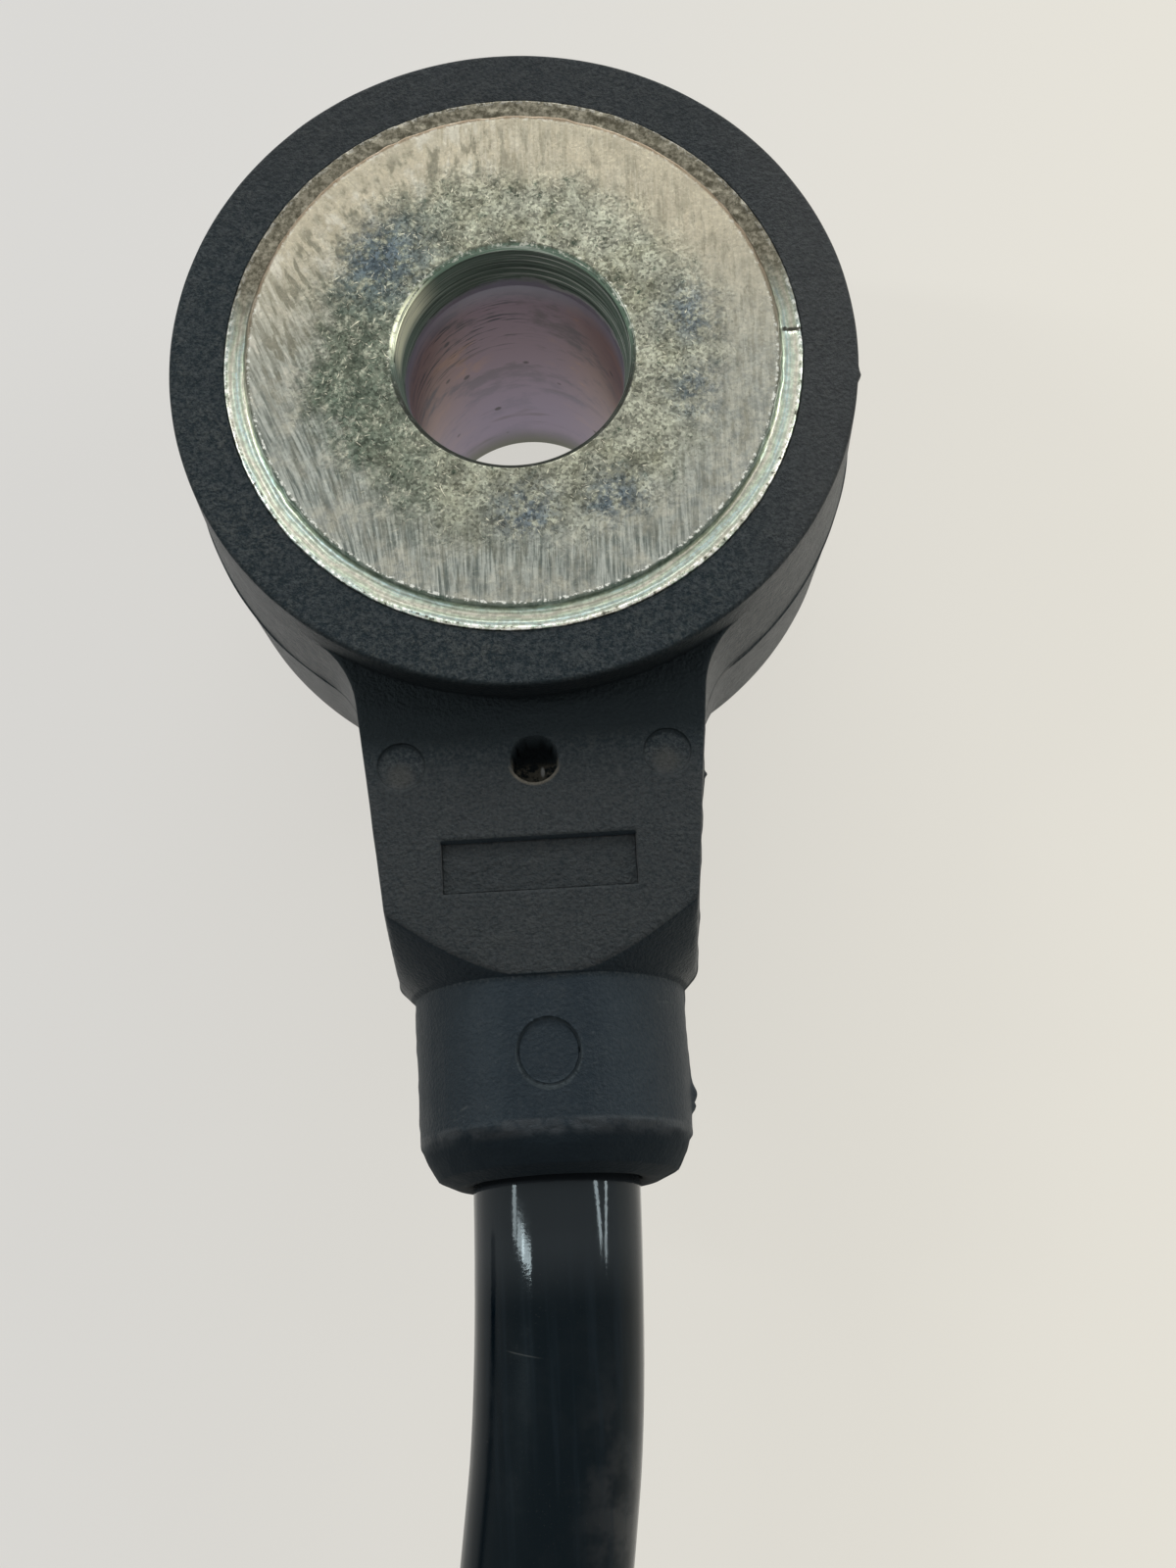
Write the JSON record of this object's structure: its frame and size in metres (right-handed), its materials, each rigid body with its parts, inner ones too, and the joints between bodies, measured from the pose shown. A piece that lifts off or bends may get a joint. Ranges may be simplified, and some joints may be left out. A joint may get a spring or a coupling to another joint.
{
  "type": "engine knock sensor",
  "caption": "Ring-shaped vibration sensor with a steel bolt sleeve in a black plastic housing, a flat neck with a round outlet, and a fixed lead that ends in a sealed plug.",
  "frame": {"origin": "on the bolt hole's axis, at the face that the bolt's head bears on", "axes": "+Z along the bolt hole to the contact face that lies on the engine, -Y along the neck and the lead, +X across"},
  "size_m": [0.0857, 0.1241, 0.018],
  "materials": {
    "housing_plastic": "matte",
    "plated_steel": "satin",
    "turned_steel": "satin",
    "contact_brass": "satin",
    "piezo_ceramic": "matte",
    "insulating_film": "gloss",
    "core_insulation": "satin",
    "lead_jacket": "gloss",
    "plug_plastic": "satin",
    "lock_plastic": "satin",
    "seal_rubber": "matte"
  },
  "bodies": {
    "root": {"sensor_housing": "housing_plastic", "pressure_sleeve": "plated_steel", "insulating_sleeve": "insulating_film", "upper_insulating_disc": "insulating_film", "upper_contact_washer": "contact_brass", "piezo_ring": "piezo_ceramic", "lower_contact_washer": "contact_brass", "lower_insulating_disc": "insulating_film", "seismic_mass": "turned_steel", "disc_spring": "turned_steel", "ring_nut": "turned_steel", "left_crimp_splice": "contact_brass", "right_crimp_splice": "contact_brass", "left_core_lead": "core_insulation", "right_core_lead": "core_insulation", "sensor_cable": "lead_jacket", "rear_cap": "plug_plastic", "plug_housing": "plug_plastic", "secondary_lock": "lock_plastic", "terminal_1": "contact_brass", "wire_seal_1": "seal_rubber", "plug_lead_1": "core_insulation", "terminal_2": "contact_brass", "wire_seal_2": "seal_rubber", "plug_lead_2": "core_insulation", "terminal_3": "contact_brass", "wire_seal_3": "seal_rubber", "plug_lead_3": "core_insulation"}
  },
  "joints": []
}
